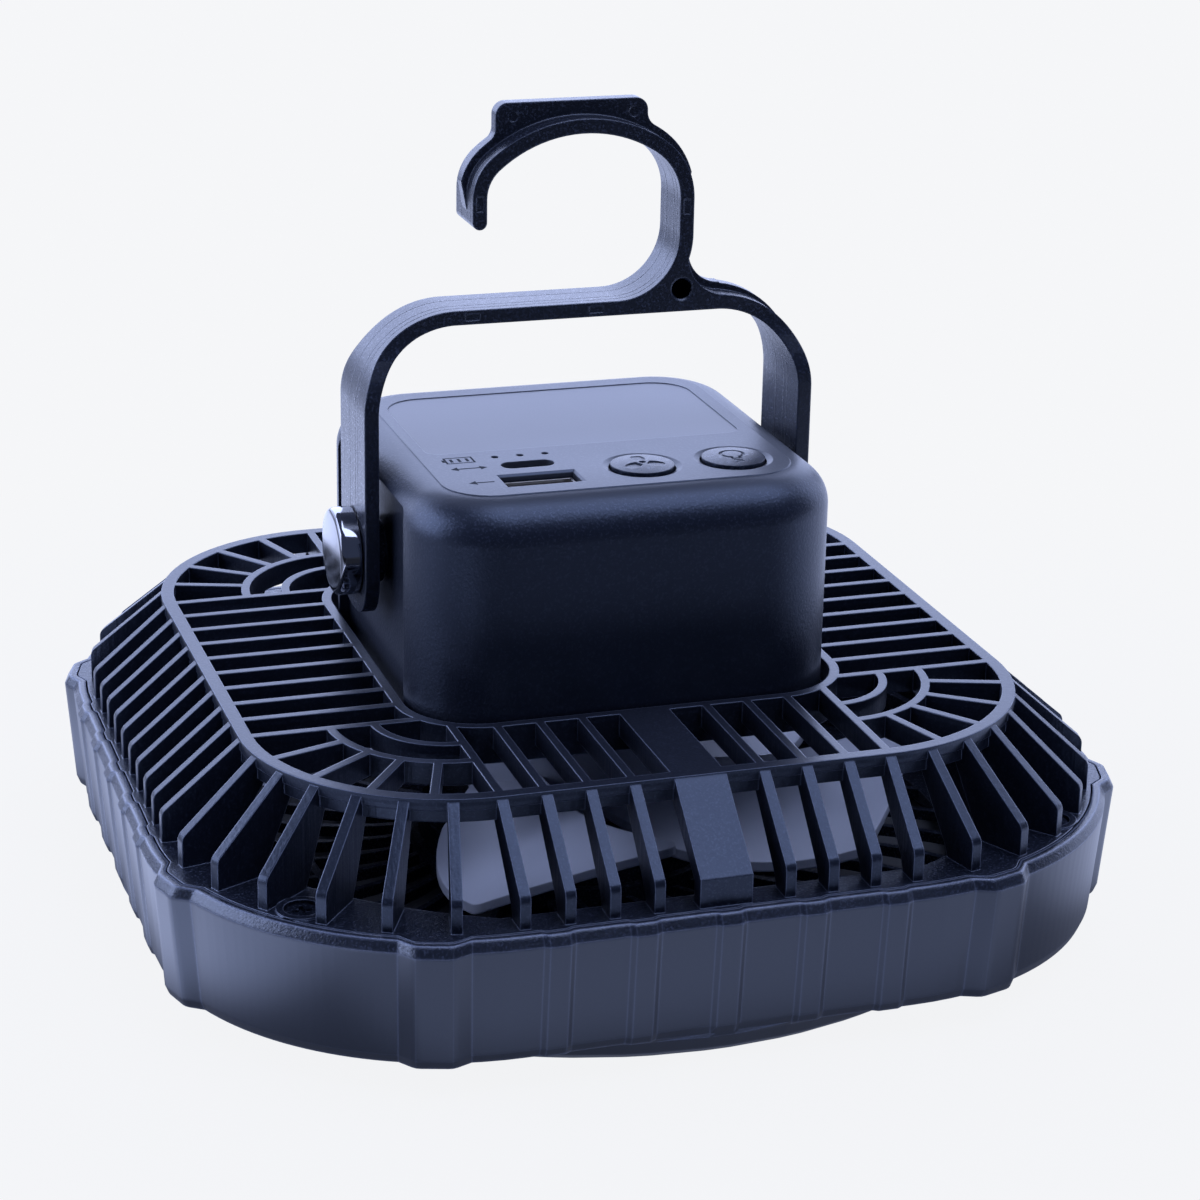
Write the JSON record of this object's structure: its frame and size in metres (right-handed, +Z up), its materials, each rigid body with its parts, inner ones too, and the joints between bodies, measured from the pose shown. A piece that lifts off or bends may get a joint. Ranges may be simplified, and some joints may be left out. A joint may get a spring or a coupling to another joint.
{
  "type": "portable camping fan",
  "caption": "Square battery fan with a slatted rear grille, a round lamp in its guarded front, a battery housing on its back and a swinging handle that ends in a hook.",
  "frame": {"origin": "centre of the round front rim's footprint, on the table that the fan lies on", "axes": "+Z up from the front rim through the battery housing to the hook, +X along the handle's pivots towards the closed side of the hook, -Y towards the sockets and buttons"},
  "size_m": [0.1712, 0.1712, 0.1412],
  "materials": {
    "body_plastic": "satin black, fine grain",
    "button_plastic": "satin black",
    "label_film": "matt, unprinted",
    "blade_plastic": "smoke grey, slightly clear",
    "frosted_lens": "frosted",
    "knob_chrome": "polished",
    "screw_steel": "plated",
    "socket_steel": "plated",
    "bearing_bronze": "sintered",
    "copper_winding": "enamelled wire",
    "magnet": "matt",
    "white_board": "solder mask",
    "green_board": "solder mask",
    "cell_wrap": "shrink wrap",
    "washer_rubber": "matt"
  },
  "bodies": {
    "chassis": {"bumper_frame": "body_plastic", "screw_posts": "body_plastic", "rear_grille": "body_plastic", "front_guard": "body_plastic", "air_duct": "body_plastic", "grille_screws": "screw_steel", "lamp_cup": "body_plastic", "lamp_board": "white_board", "lamp_lens": "frosted_lens", "motor_mount": "body_plastic", "motor_stator": "copper_winding", "shaft_bearings": "bearing_bronze", "pod_shell": "body_plastic", "battery_cells": "cell_wrap", "cell_saddles": "body_plastic", "control_board": "green_board", "usb_a_socket": "socket_steel", "usb_c_socket": "socket_steel", "charge_lights": "frosted_lens", "button_switches": "body_plastic", "label_plate": "label_film", "pod_screws": "screw_steel", "left_knob": "knob_chrome", "right_knob": "knob_chrome", "left_bolt": "screw_steel", "right_bolt": "screw_steel", "friction_washers": "washer_rubber"},
    "rotor": {"impeller": "blade_plastic", "magnet_ring": "magnet", "motor_shaft": "screw_steel"},
    "fan_key": {"fan_button": "button_plastic"},
    "light_key": {"light_button": "button_plastic"},
    "carry_handle": {"handle": "body_plastic"}
  },
  "joints": [
    {"name": "impeller_spin", "type": "hinge", "parent": "chassis", "child": "rotor", "pos_m": [0, 0, 0.02], "axis": [0, 0, 1], "continuous": true},
    {"name": "handle_swing", "type": "hinge", "parent": "chassis", "child": "carry_handle", "pos_m": [0, 0, 0.0634], "axis": [1, 0, 0], "range_deg": [-90, 90]},
    {"name": "fan_button_press", "type": "slide", "parent": "chassis", "child": "fan_key", "axis": [0, 0, -1], "range_m": [0, 0.0008], "stiffness_N_per_m": 300, "springref_m": -0.001},
    {"name": "light_button_press", "type": "slide", "parent": "chassis", "child": "light_key", "axis": [0, 0, -1], "range_m": [0, 0.0008], "stiffness_N_per_m": 300, "springref_m": -0.001}
  ]
}
